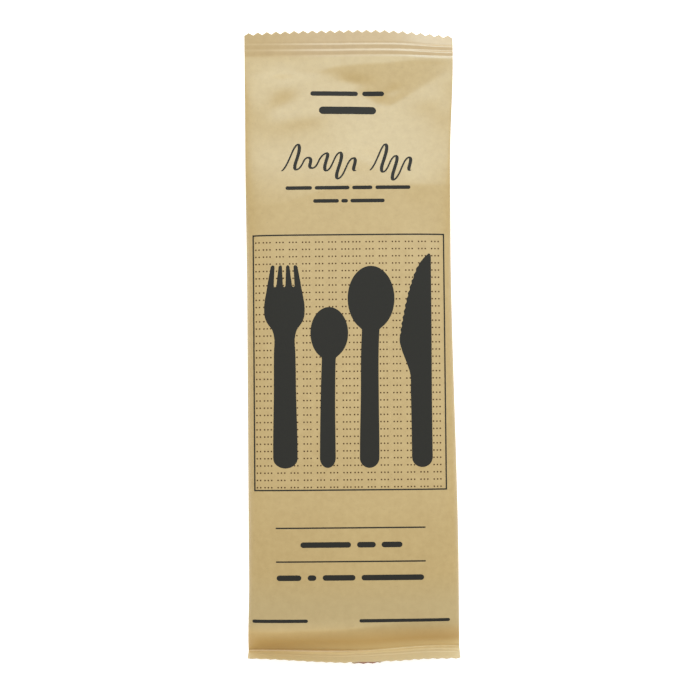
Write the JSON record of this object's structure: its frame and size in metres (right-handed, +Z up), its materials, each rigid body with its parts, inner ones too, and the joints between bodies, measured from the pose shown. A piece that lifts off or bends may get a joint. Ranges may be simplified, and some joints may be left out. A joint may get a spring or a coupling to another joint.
{
  "type": "wooden cutlery pack",
  "caption": "Sealed kraft paper sleeve of wooden cutlery, with ribbed end seals, toothed edges, a seam folded flat on the back, and cutlery pictures on the face.",
  "frame": {"origin": "middle of the pack's box, on the surface it lies on", "axes": "+X to the right of the printed face, +Y towards the top of the print, +Z up out of the printed face"},
  "size_m": [0.0764, 0.2304, 0.0096],
  "materials": {
    "kraft_paper": "uncoated natural kraft with a faint sheen where it is stretched",
    "print_ink": "matte dark ink that has soaked into the paper"
  },
  "bodies": {
    "root": {"sealed_pack": "kraft_paper"}
  },
  "joints": []
}
